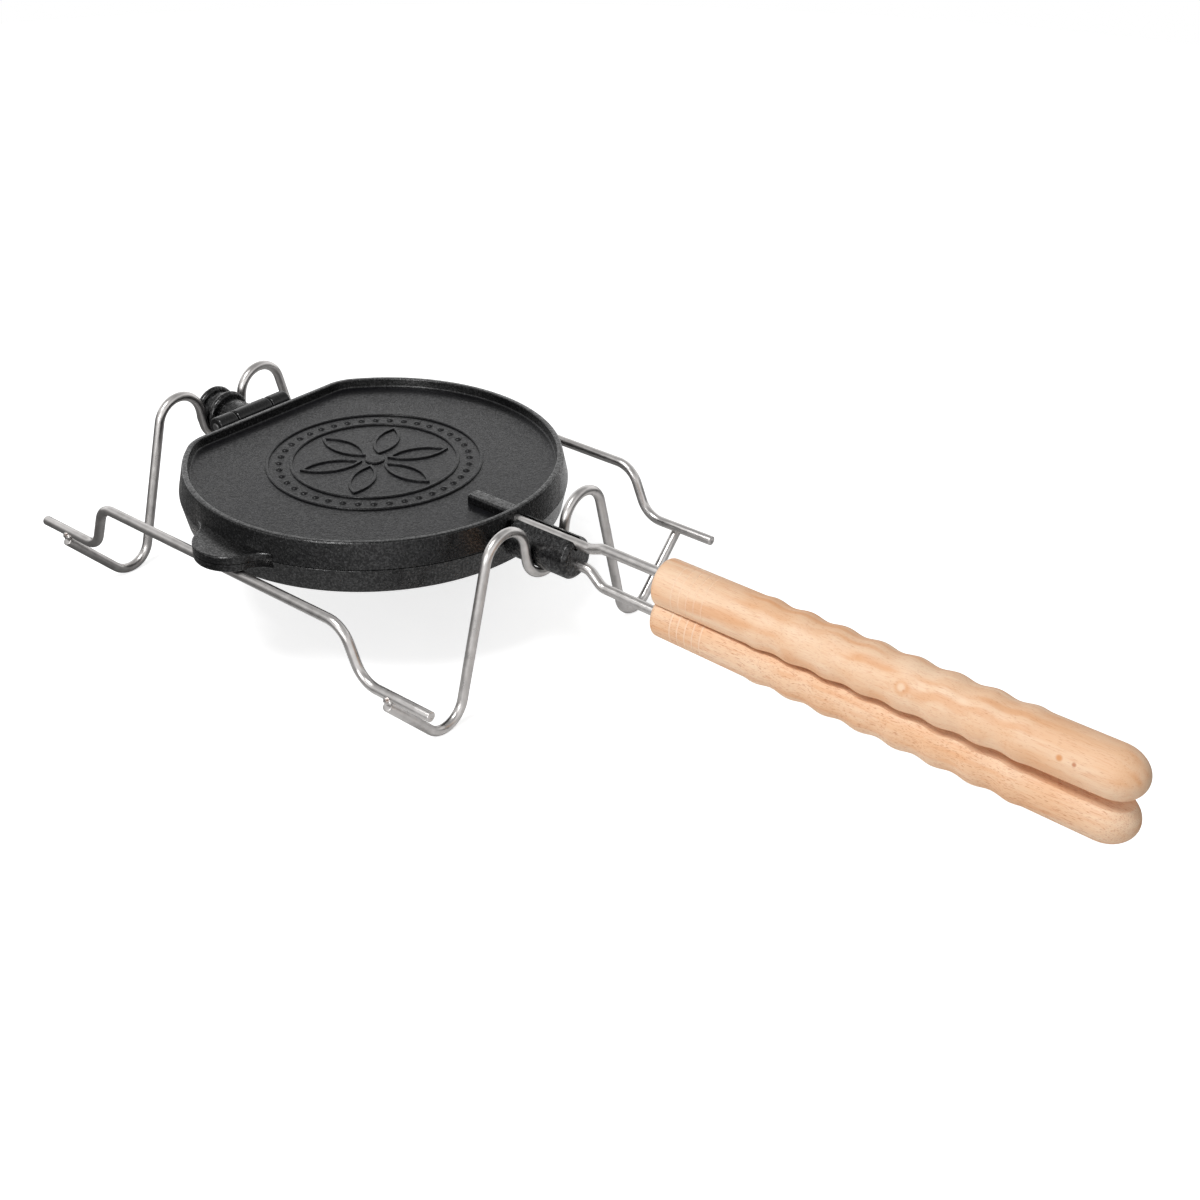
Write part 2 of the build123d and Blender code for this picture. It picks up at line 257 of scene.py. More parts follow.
def beechMaterial(name, look):
    graph = newMaterial(name)
    # growth rings round a heart that lies outside the grip and nearly in line with it
    sockets = {"Vector": graph.coordinates(), "Scale": (1000, 1000, 1000),
               "Rotation": look["tilt"], "Location": look["heart"]}
    grown = graph.vector("MULTIPLY", graph.add("ShaderNodeMapping", {}, sockets), (0, 1, 1))
    wander = graph.noise(graph.scaled(*look["wanderSize"]))
    fromHeart = graph.vector("LENGTH", grown, output=1) + wander * look["wander"]
    rings = (fromHeart * (math.tau / look["ring"])).math("SINE").between(*look["ringSpread"])
    cloud = graph.noise(graph.scaled(*look["cloudSize"]), detail=3, roughness=0.55)
    band = graph.noise(graph.scaled(*look["bandSize"])).between(*look["bandSpread"])
    shade = graph.mix(cloud.between(*look["cloudSpread"]), look["pale"], look["tan"])
    shade = graph.mix(rings * band * look["ringDepth"], shade, look["orange"])
    fibre = graph.noise(graph.scaled(*look["fibreSize"]), roughness=0.7)
    shade = graph.mix(fibre.between(*look["fibreSpread"]) * look["fibreDepth"], shade, look["fibre"])
    flecks = graph.noise(graph.scaled(*look["fleckSize"]), detail=1, roughness=0.4)
    flecks = flecks.between(look["fleckFrom"], look["fleckFrom"] + look["fleckSpread"])
    shade = graph.mix(flecks * look["fleckDepth"], shade, look["fleck"])
    cuts = grooveCuts(graph, look["firstGroove"], look["grooveStep"], look["grooves"])
    shade = graph.mix(cuts * look["cutDepth"], shade, look["cut"])
    for place, size, tone, depth in look["knots"]:
        away = graph.vector("DISTANCE", graph.coordinates(), toFrame @ Vector(place), output=1)
        near = 1 - away.between(0.3 * size / 1000, size / 1000)
        shade = graph.mix(near * depth, shade, look[tone])
    return graph.finish({
        "Base Color": shade,
        "Roughness": look["roughness"] + cloud.sway(look["cloudSway"]) + flecks * look["fleckRough"],
        "Normal": graph.bump(fibre * look["fibreRise"] - flecks * look["fleckSink"], look["depth"]),
        "Specular IOR Level": look["gloss"],
    })


# Making and joining

mergeGap = 0.0005    # vertices nearer than this are one
creaseAngle = math.radians(42)    # edges that turn more are drawn sharp
softenAngle = math.radians(35)    # edges that turn more are rounded
overrun = 5    # how far a cutter stands out of what it cuts


def newObject(name, data):
    thing = bpy.data.objects.new(name, data)
    bpy.context.scene.collection.objects.link(thing)
    return thing


def newMesh(name, bm):
    mesh = bpy.data.meshes.new(name)
    bm.to_mesh(mesh)
    bm.free()
    return mesh


def faceOutwards(bm):
    bmesh.ops.recalc_face_normals(bm, faces=bm.faces[:])


def storePiece(name, bm, materials, body, node, flatFaces=False):
    faceOutwards(bm)
    bm.transform(toFrame)
    mesh = newMesh(name, bm)
    piece = newObject(name, mesh)
    for material in materials:
        mesh.materials.append(material)
    mesh.shade_smooth()
    mesh.set_sharp_from_angle(angle=creaseAngle)
    if flatFaces:
        weigh = piece.modifiers.new("flatFaces", "WEIGHTED_NORMAL")
        weigh.keep_sharp = True
    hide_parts(node)
    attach(piece, body)
    print("made", name, len(mesh.polygons), "faces")
    return piece


def looseObject(bm):
    faceOutwards(bm)
    return newObject("loose", newMesh("loose", bm))


def combine(base, others, operation="UNION"):
    # one solid out of several
    whole = looseObject(base)
    tools = [looseObject(other) for other in others]
    for tool in tools:
        join = whole.modifiers.new("join", "BOOLEAN")
        join.operation = operation
        join.solver = "EXACT"
        join.object = tool
    bpy.context.view_layer.update()
    result = bmesh.new()
    result.from_object(whole, bpy.context.evaluated_depsgraph_get())
    for item in [whole, *tools]:
        mesh = item.data
        bpy.data.objects.remove(item)
        bpy.data.meshes.remove(mesh)
    return result


def addTo(target, source):
    # lays one mesh into another without joining their surfaces
    mesh = newMesh("part", source)
    target.from_mesh(mesh)
    bpy.data.meshes.remove(mesh)


def only(kind, items):
    return [item for item in items if isinstance(item, kind)]


def cornersOf(edges):
    return list(dict.fromkeys(vert for edge in edges for vert in edge.verts))


def edgesFrom(bm, level):
    # the edges that lie wholly at a level or above it
    return [edge for edge in bm.edges if all(vert.co.z > level - 0.01 for vert in edge.verts)]


def rounded(bm, edges, width, segments=3):
    bmesh.ops.bevel(bm, geom=list(edges), offset=width, offset_type="OFFSET", segments=segments,
                    profile=0.5, affect="EDGES", material=-1, clamp_overlap=True)


def soften(bm, width):
    # rounds every edge that turns sharply
    faceOutwards(bm)
    rounded(bm, [edge for edge in bm.edges if edge.calc_face_angle(0) > softenAngle], width)
    return bm


def quarterTurn(steps):
    # the angles from none to a right angle
    return [math.pi / 2 * i / steps for i in range(steps + 1)]


def turnedBar(profile, start, axis, sides=48):
    # profile is a list of (distance along the axis, radius), turned about the axis
    bm = bmesh.new()
    side = axis.orthogonal().normalized()
    verts = [bm.verts.new(start + axis * along + side * radius) for along, radius in profile]
    for first, second in zip(verts, verts[1:]):
        bm.edges.new((first, second))
    bmesh.ops.spin(bm, geom=bm.verts[:] + bm.edges[:], cent=start, axis=axis, dvec=(0, 0, 0),
                   angle=math.tau, steps=sides, use_merge=True)
    bmesh.ops.remove_doubles(bm, verts=bm.verts[:], dist=mergeGap)
    faceOutwards(bm)
    return bm


def roundedBar(start, axis, length, radius, edge, sides=48):
    # closed round bar with rounded ends
    profile = [(0, 0)] + [(edge - edge * math.cos(turn), radius - edge + edge * math.sin(turn))
                          for turn in quarterTurn(4)]
    far = [(length - along, radius) for along, radius in reversed(profile)]
    return turnedBar(profile + far, start, axis, sides)


def boreCutter(start, axis, length, radius):
    # a plain bar that only cuts
    return roundedBar(start, axis, length, radius, 0.02, 32)


def raiseFace(bm, face, travel):
    # draws a flat face out into a block
    result = bmesh.ops.extrude_face_region(bm, geom=[face])["geom"]
    bmesh.ops.translate(bm, verts=only(bmesh.types.BMVert, result), vec=travel)
    faceOutwards(bm)
    return bm


def prism(outline, travel):
    # a closed outline of a few points, drawn out
    bm = bmesh.new()
    face = bm.faces.new([bm.verts.new(point) for point in outline])
    return raiseFace(bm, face, travel)


def swing(bm, tip, about, target, stepsPerRadian):
    # turns a vertex about a point in its own level until it lies on the target's bearing, and
    # leaves an arc behind
    here = complex(tip.co.x, tip.co.y) - about
    turn = cmath.phase((target - about) / here)
    steps = max(4, round(abs(turn) * stepsPerRadian))
    result = bmesh.ops.spin(bm, geom=[tip], cent=(about.real, about.imag, tip.co.z), axis=plusZ,
                            dvec=(0, 0, 0), angle=turn, steps=steps)
    return result["geom_last"][0]


def fillOutline(bm):
    bmesh.ops.remove_doubles(bm, verts=bm.verts[:], dist=2 * mergeGap)
    face = bmesh.ops.contextual_create(bm, geom=bm.edges[:])["faces"][0]
    face.normal_update()
    if face.normal.z < 0:
        face.normal_flip()
    return face


def stepIn(bm, face, steps):
    # each step is (inwards, along the face's normal, rounding of the edge that it ends on)
    loops = []
    for inwards, along, rounding in steps:
        bmesh.ops.inset_region(bm, faces=[face], thickness=inwards, depth=along,
                               use_even_offset=True, use_boundary=True)
        loops.append((list(face.edges), rounding))
    return loops


# Bent wire

wire = {
    "radius": 2.5, "sides": 28, "bendStep": 5.0, "cutEdge": 0.5,
    "dimple": 0.3, "dimpleAt": 0.9, "dimpleSlope": 0.6,
}


def bentCourse(stops, setback=0.0):
    # stops are (centre, bend) in a plane, with the bend's radius positive where it turns left;
    # gives the headings of the straight runs between the bends, and the runs themselves
    headings, runs = [], []
    for (here, bend), (there, nextBend) in zip(stops, stops[1:]):
        across = there - here
        heading = cmath.phase(across) + math.asin((bend - nextBend) / abs(across))
        right = cmath.exp(1j * (heading - math.pi / 2))
        headings.append(heading)
        runs.append([here + right * bend, there + right * nextBend])
    runs[0][0] += cmath.exp(1j * headings[0]) * setback
    runs[-1][1] -= cmath.exp(1j * headings[-1]) * setback
    return headings, runs


def roundCorners(points, bends):
    # a polyline's corners as stops for bentCourse
    stops = [(points[0], 0)]
    for before, corner, after, bend in zip(points, points[1:], points[2:], bends):
        arriving = (corner - before) / abs(corner - before)
        leaving = (after - corner) / abs(after - corner)
        turn = cmath.phase(leaving / arriving)
        inward = (leaving - arriving) / abs(leaving - arriving)
        stops.append((corner + inward * bend / math.cos(turn / 2), math.copysign(bend, turn)))
    return stops + [(points[-1], 0)]


def bentWire(stops, start, across, up, setback=0.0, dimpled=True):
    # a round bar swept along the course, in the plane of across and up
    headings, runs = bentCourse(stops, setback)
    normal = across.cross(up)

    def place(point):
        return start + across * point.real + up * point.imag

    bm = bmesh.new()
    ahead = cmath.exp(1j * headings[0])
    facing = (across * ahead.real + up * ahead.imag).to_track_quat("Z", "Y").to_matrix().to_4x4()
    bmesh.ops.create_circle(bm, cap_ends=False, radius=wire["radius"], segments=wire["sides"],
                            matrix=Matrix.Translation(place(runs[0][0])) @ facing)
    ring = bm.edges[:]
    for i, (runStart, runEnd) in enumerate(runs):
        result = bmesh.ops.extrude_edge_only(bm, edges=ring)["geom"]
        ring = [edge for edge in only(bmesh.types.BMEdge, result)
                if all(vert in result for vert in edge.verts)]
        verts = cornersOf(ring)
        bmesh.ops.translate(bm, verts=verts, vec=place(runEnd) - place(runStart))
        if i + 1 < len(runs):
            turn = headings[i + 1] - headings[i]
            steps = max(3, round(abs(math.degrees(turn)) / wire["bendStep"]))
            result = bmesh.ops.spin(bm, geom=verts + ring, cent=place(stops[i + 1][0]),
                                    axis=normal, dvec=(0, 0, 0), angle=turn, steps=steps)
            ring = only(bmesh.types.BMEdge, result["geom_last"])
    bmesh.ops.remove_doubles(bm, verts=bm.verts[:], dist=mergeGap)
    openEdges = [edge for edge in bm.edges if edge.is_boundary]
    caps = bmesh.ops.holes_fill(bm, edges=openEdges, sides=wire["sides"])["faces"]
    rounded(bm, [edge for cap in caps for edge in cap.edges], wire["cutEdge"])
    faceOutwards(bm)
    ends = sorted(bm.faces, key=lambda face: -len(face.verts))[:2]
    for end in ends if dimpled else ():
        stepIn(bm, end, [(wire["dimpleAt"], 0, 0), (wire["dimpleSlope"], -wire["dimple"], 0)])
    return bm


# The plates

plate = {
    "radius": 98.0, "height": 13.2, "partingHalf": 0.15, "chordDepth": 14.7, "corner": 25.0,
    "wallLean": 2.8, "rim": 2.8, "recess": 4.6, "recessLean": 0.5,
    "panMargin": 10.0, "panLean": 1.2, "panDepth": 4.7,
    "topEdge": 0.8, "rimEdge": 0.6, "recessEdge": 0.8, "partingEdge": 0.35, "panEdge": 0.6, "panFoot": 1.2,
    "steps": 150, "cornerSteps": 18,
}
chordX = plate["chordDepth"] - plate["radius"]
rootInset = plate["wallLean"] + plate["rim"] / 2    # how far fittings reach into a plate's wall
recessFloor = plate["height"] - plate["recess"]

lobe = {
    "x": 2.0, "radius": 19.0, "overhang": 7.4, "thickness": 4.0, "blend": 12.0, "edge": 1.3,
    "sunk": 0.93, "stepsPerRadian": 14,
}
stud = {"height": 2.3, "top": 8.0, "foot": 10.0, "pitch": 15.0, "margin": 2.0, "edge": 0.7, "sink": 0.2}


def plateOutline(bm, z):
    # the round with its straight side, drawn by turning a point through three arcs
    cornerX = chordX + plate["corner"]
    cornerReach = plate["radius"] - plate["corner"]
    cornerY = math.sqrt(cornerReach ** 2 - cornerX ** 2)
    cornerTurn = math.acos(-cornerX / cornerReach)
    start = bm.verts.new((chordX, -cornerY, z))
    arcs = (
        (Vector((cornerX, -cornerY, z)), cornerTurn, plate["cornerSteps"]),
        (Vector((0, 0, z)), math.tau - 2 * cornerTurn, plate["steps"]),
        (Vector((cornerX, cornerY, z)), cornerTurn, plate["cornerSteps"]),
    )
    tip = start
    for centre, turn, steps in arcs:
        result = bmesh.ops.spin(bm, geom=[tip], cent=centre, axis=plusZ, dvec=(0, 0, 0),
                                angle=turn, steps=steps)
        tip = result["geom_last"][0]
    bm.edges.new((tip, start))
    return fillOutline(bm)


def plateBody():
    # the lid's half: wall and recess above the parting plane, pan cut up into it
    bm = bmesh.new()
    top = plateOutline(bm, plate["partingHalf"])
    loops = stepIn(bm, top, [
        (plate["wallLean"], plate["height"] - plate["partingHalf"], plate["topEdge"]),
        (plate["rim"], 0, plate["rimEdge"]),
        (plate["recessLean"], -plate["recess"], plate["recessEdge"]),
    ])
    outer = [edge for edge in bm.edges if edge.is_boundary]
    under = bmesh.ops.contextual_create(bm, geom=outer)["faces"][0]
    faceOutwards(bm)
    loops.append((outer, plate["partingEdge"]))
    loops += stepIn(bm, under, [
        (plate["panMargin"], 0, plate["panEdge"]),
        (plate["panLean"], -plate["panDepth"], plate["panFoot"]),
    ])
    for edges, rounding in loops:
        rounded(bm, edges, rounding)
    return bm


def lobeTab():
    # flat tab: from the round through a blend, about its end and back through the other blend
    low, radius = plate["partingHalf"], lobe["radius"]
    reach = sideY + wire["radius"] + lobe["overhang"]
    centre = complex(lobe["x"], radius - reach)
    outward = centre / abs(centre)
    blendReach, span = plate["radius"] + lobe["blend"], radius + lobe["blend"]
    along = (abs(centre) ** 2 + blendReach ** 2 - span ** 2) / (2 * abs(centre))
    aside = math.sqrt(blendReach ** 2 - along ** 2)
    blends = [outward * complex(along, side * aside) for side in (-1, 1)]
    leaves = [blend * plate["radius"] / blendReach for blend in blends]
    touches = [centre + (blend - centre) * radius / span for blend in blends]
    bm = bmesh.new()
    start = bm.verts.new((leaves[0].real, leaves[0].imag, low))
    tip = start
    course = (
        (blends[0], touches[0]), (centre, centre + outward),
        (centre, touches[1]), (blends[1], leaves[1]),
    )
    for about, target in course:
        tip = swing(bm, tip, about, target, lobe["stepsPerRadian"])
    for leave in reversed(leaves):
        tip = bmesh.ops.extrude_vert_indiv(bm, verts=[tip])["verts"][0]
        tip.co = (leave.real * lobe["sunk"], leave.imag * lobe["sunk"], low)
    bm.edges.new((tip, start))
    raiseFace(bm, fillOutline(bm), plusZ * (lobe["thickness"] - low))
    rounded(bm, edgesFrom(bm, lobe["thickness"]), lobe["edge"], segments=4)
    return bm


def studBlock():
    # small pyramid with a cut top, upside down under the pan's floor
    height = stud["height"] + stud["sink"]
    shrink = stud["top"] / stud["foot"]
    bm = bmesh.new()
    bmesh.ops.create_cube(bm, size=1)
    bmesh.ops.scale(bm, vec=(stud["foot"], stud["foot"], height), verts=bm.verts[:])
    tops = [vert for vert in bm.verts if vert.co.z < 0]
    bmesh.ops.scale(bm, vec=(shrink, shrink, 1), verts=tops)
    sloping = [edge for edge in bm.edges if any(vert in tops for vert in edge.verts)]
    rounded(bm, sloping, stud["edge"], segments=2)
    bmesh.ops.translate(bm, vec=(0, 0, plate["panDepth"] + stud["sink"] - height / 2), verts=bm.verts[:])
    return bm


def studGrid():
    margin = plate["panMargin"] + plate["panLean"] + stud["margin"]
    count = int(plate["radius"] / stud["pitch"])
    half = stud["foot"] / 2
    block = studBlock()
    grid = bmesh.new()
    for column in range(-count, count + 1):
        for row in range(-count, count + 1):
            x, y = column * stud["pitch"], row * stud["pitch"]
            corner = math.hypot(abs(x) + half, abs(y) + half)
            if corner < plate["radius"] - margin and x - half > chordX + margin:
                copy = block.copy()
                bmesh.ops.translate(copy, vec=(x, y, 0), verts=copy.verts[:])
                addTo(grid, copy)
    block.free()
    return grid


# The stand; the bends are measured to the middle of the wire

stand = {
    "cradle": 13.3, "loop": 13.8, "foot": 13.0, "innerLeg": 8.3, "innerLean": 9.2, "footInset": 32.4,
    "handleGap": 15.4, "hingeGap": 36.0, "sideGap": 3.6, "sideHeight": 36.8, "restGap": 0.4,
    "handleOverhang": 24.5, "handleJog": 17.7, "handleJogRun": 11.3, "handleBend": 14.0,
    "hingeOverhang": 20.5, "hingeJog": 22.4, "hingeJogRun": 9.6, "hingeBend": 11.0,
    "weldSink": 0.5, "weldSetback": 0.7,
}
handleFrameX = plate["radius"] + stand["handleGap"]
hingeFrameX = chordX - stand["hingeGap"]
sideY = plate["radius"] + stand["sideGap"] + wire["radius"]
weld = {
    "size": 1.9, "wide": 1.45, "out": 0.7, "uneven": 0.09, "pitOut": 2.3, "pitSide": 0.7, "pit": 1.5,
}


def endFrameStops():
    out = cmath.exp(-1j * math.radians(stand["innerLean"]))
    cradle = complex(0, axisHeight)
    loop = cradle + out * (stand["cradle"] + stand["loop"]) + out * 1j * stand["innerLeg"]
    foot = complex(sideY - stand["footInset"], stand["foot"] + wire["radius"])
    side = complex(sideY, stand["sideHeight"])
    touching = 2 * wire["radius"] - stand["weldSink"]
    half = [(loop, -stand["loop"]), (foot, stand["foot"]), (side, touching)]
    otherHalf = [(-centre.conjugate(), bend) for centre, bend in reversed(half)]
    return otherHalf + [(cradle, stand["cradle"])] + half


def sideWireStops():
    low = stand["sideHeight"]
    high = axisHeight - lobe["thickness"] - stand["restGap"] - wire["radius"]
    hingeCorner = hingeFrameX + stand["hingeJog"]
    handleCorner = handleFrameX - stand["handleJog"]
    points = [
        complex(hingeFrameX - stand["hingeOverhang"], low), complex(hingeCorner, low),
        complex(hingeCorner + stand["hingeJogRun"], high),
        complex(handleCorner - stand["handleJogRun"], high),
        complex(handleCorner, low), complex(handleFrameX + stand["handleOverhang"], low),
    ]
    return roundCorners(points, [stand["hingeBend"]] * 2 + [stand["handleBend"]] * 2)


def weldNugget(spot):
    # small lump of weld metal, wider along the side wire and uneven in its own way at each spot
    bm = bmesh.new()
    bmesh.ops.create_icosphere(bm, subdivisions=4, radius=weld["size"])
    for vert in bm.verts:
        x, y, z = vert.co
        wave = math.sin(x * 2.7 + spot.x) * math.sin(y * 2.3 + spot.y) + 0.6 * math.sin(z * 4.1 - x * 3)
        vert.co *= 1 + weld["uneven"] * wave
    bmesh.ops.scale(bm, vec=(weld["wide"], 1, 1), verts=bm.verts[:])
    bmesh.ops.translate(bm, vec=spot, verts=bm.verts[:])
    return bm


def paintHeat(piece, pits):
    # the burnt spot that each weld keeps
    heat = piece.data.attributes.new("weldHeat", "FLOAT", "POINT")
    spots = [toFrame @ pit for pit in pits]
    for vert, value in zip(piece.data.vertices, heat.data):
        reach = min((vert.co - spot).length for spot in spots) * 1000
        value.value = max(0.0, 1 - reach / weld["pit"])


def makeStand():
    ground = Vector((0, 0, -axisHeight))
    headings, runs = bentCourse(endFrameStops())
    heading = cmath.exp(1j * headings[-1])
    touch = (runs[-1][1] + complex(sideY, stand["sideHeight"])) / 2
    nuggetAt = touch + heading * weld["out"]
    pitAt = touch + heading * weld["pitOut"]
    for name, x in (("handle_end_frame", handleFrameX), ("hinge_end_frame", hingeFrameX)):
        bm = bentWire(endFrameStops(), ground + plusX * x, plusY, plusZ, stand["weldSetback"], False)
        pits = []
        for side in (-1, 1):
            addTo(bm, weldNugget(ground + Vector((x, side * nuggetAt.real, nuggetAt.imag))))
            pits.append(ground + Vector((x + weld["pitSide"], side * pitAt.real, pitAt.imag)))
        piece = storePiece(name.replace("_", ""), bm, [steel], "stand", name)
        paintHeat(piece, pits)
    for name, y in (("front_side_wire", -sideY), ("rear_side_wire", sideY)):
        bm = bentWire(sideWireStops(), ground + plusY * y, plusX, plusZ)
        storePiece(name.replace("_", ""), bm, [steel], "stand", name)


# The hinge, the trunnions and the lid's rod boss

hinge = {
    "knuckle": 5.5, "middle": 23.4, "outer": 12.0, "gap": 0.3, "edge": 1.3,
    "armRise": 1.0, "armInset": 0.05, "armEdge": 0.9, "blockDepth": 9.0, "blockEdge": 0.8, "slabInset": 0.1,
    "pin": 2.5, "pinOverhang": 0.6, "pinClearance": 0.05, "pinEdge": 0.5,
}
middleHalf = hinge["middle"] / 2
outerStart = middleHalf + hinge["gap"]
outerEnd = outerStart + hinge["outer"]
hingeRootX = chordX + rootInset

rod = {
    "upperRise": 8.0, "lowerDrop": 3.0, "upperHold": 20.0, "lidGap": 0.5, "jogStart": 7.0,
    "jogLength": 7.6, "bend": 6.5, "upperAtGrip": 10.4, "lowerAtGrip": -10.8, "inGrip": 110.0,
}
trunnion = {
    "runningGap": 0.3, "sleeveLength": 35.8, "sleeveChamfer": 2.0, "sleeveEdge": 0.45,
    "channelGap": 0.5, "channelCorner": 1.2, "play": 0.6, "flange": 12.8, "flangeWidth": 4.2,
    "flangeEdge": 2.0, "neck": 9.5, "hubSink": 1.0, "hiddenEdge": 0.1, "sides": 64, "roomSides": 200,
}
trunnionRadius = stand["cradle"] - wire["radius"] - trunnion["runningGap"]
sleeveEnd = plate["radius"] + trunnion["sleeveLength"]
upperRodStart = plate["radius"] - plate["wallLean"] - plate["rim"] - rod["upperHold"]
boss = {"end": 5.4, "half": 4.0, "sink": 1.5, "edge": 1.3, "topGap": 0.02}


def barrel(y0, y1):
    spot = Vector((hingePin.x, y0, hingePin.z))
    return roundedBar(spot, plusY, y1 - y0, hinge["knuckle"], hinge["edge"])


def slab(y0, y1, outline, edge):
    # a block across the hinge, a little narrower than its knuckle, with its outline in X and Z
    y0, y1 = y0 + hinge["slabInset"], y1 - hinge["slabInset"]
    return soften(prism([Vector((x, y0, z)) for x, z in outline], plusY * (y1 - y0)), edge)


def pinHole(reach, radius):
    reach += overrun
    return boreCutter(Vector((hingePin.x, -reach, hingePin.z)), plusY, 2 * reach, radius)


def lidKnuckles():
    low = hingePin.z - hinge["knuckle"] + hinge["armInset"]
    high = hingePin.z + hinge["armRise"]
    arm = [(hingePin.x, low), (hingeRootX, low), (hingeRootX, high), (hingePin.x, high)]
    parts = []
    for y0, y1 in ((-outerEnd, -outerStart), (outerStart, outerEnd)):
        parts += [barrel(y0, y1), slab(y0, y1, arm, hinge["armEdge"])]
    return parts


def middleKnuckle():
    left, right = hingePin.x - hinge["knuckle"], hingePin.x + hinge["knuckle"]
    low, top = -hinge["blockDepth"], -plate["partingHalf"]
    block = [(left, hingePin.z), (left, low), (hingeRootX, low), (hingeRootX, top), (right, top),
             (right, hingePin.z)]
    return [barrel(-middleHalf, middleHalf), slab(-middleHalf, middleHalf, block, hinge["blockEdge"])]


def rodBoss():
    # block in the recess that holds the inner end of the upper rod
    start, end, half = upperRodStart - boss["end"], plate["radius"] - rootInset, boss["half"]
    bottom, top = recessFloor - boss["sink"], plate["height"] - boss["topGap"]
    corners = ((start, -half), (end, -half), (end, half), (start, half))
    return soften(prism([Vector((x, y, bottom)) for x, y in corners], plusZ * (top - bottom)), boss["edge"])


def sleeve():
    # round trunnion with a channel on top, where the upper rod drops in, and room for the lid
    start, radius, cut = plate["radius"] - rootInset, trunnionRadius, trunnion["sleeveChamfer"]
    length = sleeveEnd - start
    profile = [(0, 0), (0, radius), (length - cut, radius), (length, radius - cut), (length, 0)]
    bar = turnedBar(profile, Vector((start, 0, 0)), plusX, trunnion["sides"])
    soften(bar, trunnion["sleeveEdge"])
    half = wire["radius"] + trunnion["channelGap"]
    floor, ceiling = rod["upperRise"] - half, radius + overrun
    flat, shoulder = half - trunnion["channelCorner"], floor + trunnion["channelCorner"]
    section = [(-half, ceiling), (-half, shoulder), (-flat, floor), (flat, floor), (half, shoulder),
               (half, ceiling)]
    channel = prism([Vector((start - overrun, y, z)) for y, z in section], plusX * (length + 2 * overrun))
    lidRoom = roundedBar(Vector((0, 0, -plate["partingHalf"])), plusZ, ceiling + overrun,
                         plate["radius"] + rod["lidGap"], trunnion["hiddenEdge"], trunnion["roomSides"])
    return combine(bar, [channel, lidRoom], "DIFFERENCE")


def spool():
    # hub in the wire cradle, between two flanges, with a neck to the hinge block
    groove = wire["radius"] + trunnion["play"]
    inner, outer = hingeFrameX + groove, hingeFrameX - groove
    width, edge, sink = trunnion["flangeWidth"], trunnion["flangeEdge"], trunnion["hubSink"]
    neckStart = inner + width - edge
    courses = [
        (outer - sink, inner + sink, trunnionRadius, trunnion["hiddenEdge"]),
        (outer - width, outer, trunnion["flange"], edge),
        (inner, inner + width, trunnion["flange"], edge),
        (neckStart, hingePin.x, trunnion["neck"], trunnion["hiddenEdge"]),
    ]
    sides = trunnion["sides"]
    hub, *parts = [roundedBar(Vector((start, 0, 0)), plusX, end - start, radius, rounding, sides)
                   for start, end, radius, rounding in courses]
    return combine(hub, parts)


# The lid's relief, a plain rosette inside a beaded ring

relief = {
    "height": 0.9, "line": 1.6, "outerRing": 54.0, "innerRing": 42.0, "ringSteps": 120,
    "bead": 1.8, "beads": 40, "hub": 5.0, "hubEdge": 0.6, "sink": 0.3, "edge": 0.4,
    "petals": 6, "petalLength": 32.0, "petalWidth": 13.0, "petalGap": 1.5, "stepsPerRadian": 16,
}


def raisedRing(radius):
    # a low ridge with a round top
    half, crown = relief["line"] / 2, relief["height"] / 2
    foot = recessFloor - relief["sink"]
    middleZ = recessFloor + relief["height"] - crown
    arch = [(middleZ + crown * math.sin(2 * turn), radius - half * math.cos(2 * turn))
            for turn in quarterTurn(6)]
    profile = [(foot, radius - half), *arch, (foot, radius + half), (foot, radius - half)]
    return turnedBar(profile, origin, plusZ, relief["ringSteps"])


def ovalBlock(inwards, z, thickness):
    # pointed oval drawn by two arcs, and raised
    half = relief["petalWidth"] / 2
    radius = (relief["petalLength"] ** 2 / 4 + half ** 2) / relief["petalWidth"]
    offset = radius - half
    reach = math.sqrt((radius - inwards) ** 2 - offset ** 2)
    bm = bmesh.new()
    start = bm.verts.new((-reach, 0, z))
    tip = swing(bm, start, complex(0, -offset), complex(reach, 0), relief["stepsPerRadian"])
    swing(bm, tip, complex(0, offset), complex(-reach, 0), relief["stepsPerRadian"])
    return raiseFace(bm, fillOutline(bm), plusZ * thickness)


def petalRidge():
    # the oval's outline as a ridge, rounded along the top
    rise = relief["height"] + relief["sink"]
    core = ovalBlock(relief["line"], -overrun, rise + 2 * overrun)
    bm = combine(ovalBlock(0, 0, rise), [core], "DIFFERENCE")
    crest = [edge for edge in edgesFrom(bm, rise) if edge.calc_face_angle(0) > 1]
    rounded(bm, crest, relief["edge"], segments=2)
    return bm


def bead():
    bm = bmesh.new()
    bmesh.ops.create_uvsphere(bm, u_segments=12, v_segments=8, radius=relief["bead"])
    bmesh.ops.scale(bm, vec=(1, 1, relief["height"] / relief["bead"]), verts=bm.verts[:])
    return bm


def addRing(target, shape, count, radius, z):
    # copies of a shape in a ring
    for i in range(count):
        copy = shape.copy()
        copy.transform(Matrix.Rotation(math.tau * i / count, 4, "Z") @ Matrix.Translation((radius, 0, z)))
        addTo(target, copy)
    shape.free()


def rosette():
    foot = recessFloor - relief["sink"]
    rise = relief["height"] + relief["sink"]
    bm = raisedRing(relief["outerRing"])
    addTo(bm, raisedRing(relief["innerRing"]))
    addTo(bm, roundedBar(plusZ * foot, plusZ, rise, relief["hub"], relief["hubEdge"]))
    beadCircle = (relief["outerRing"] + relief["innerRing"]) / 2
    addRing(bm, bead(), relief["beads"], beadCircle, recessFloor)
    petalX = relief["hub"] + relief["petalGap"] + relief["petalLength"] / 2
    addRing(bm, petalRidge(), relief["petals"], petalX, foot)
    for face in bm.faces:
        face.material_index = floorFinish
    return bm


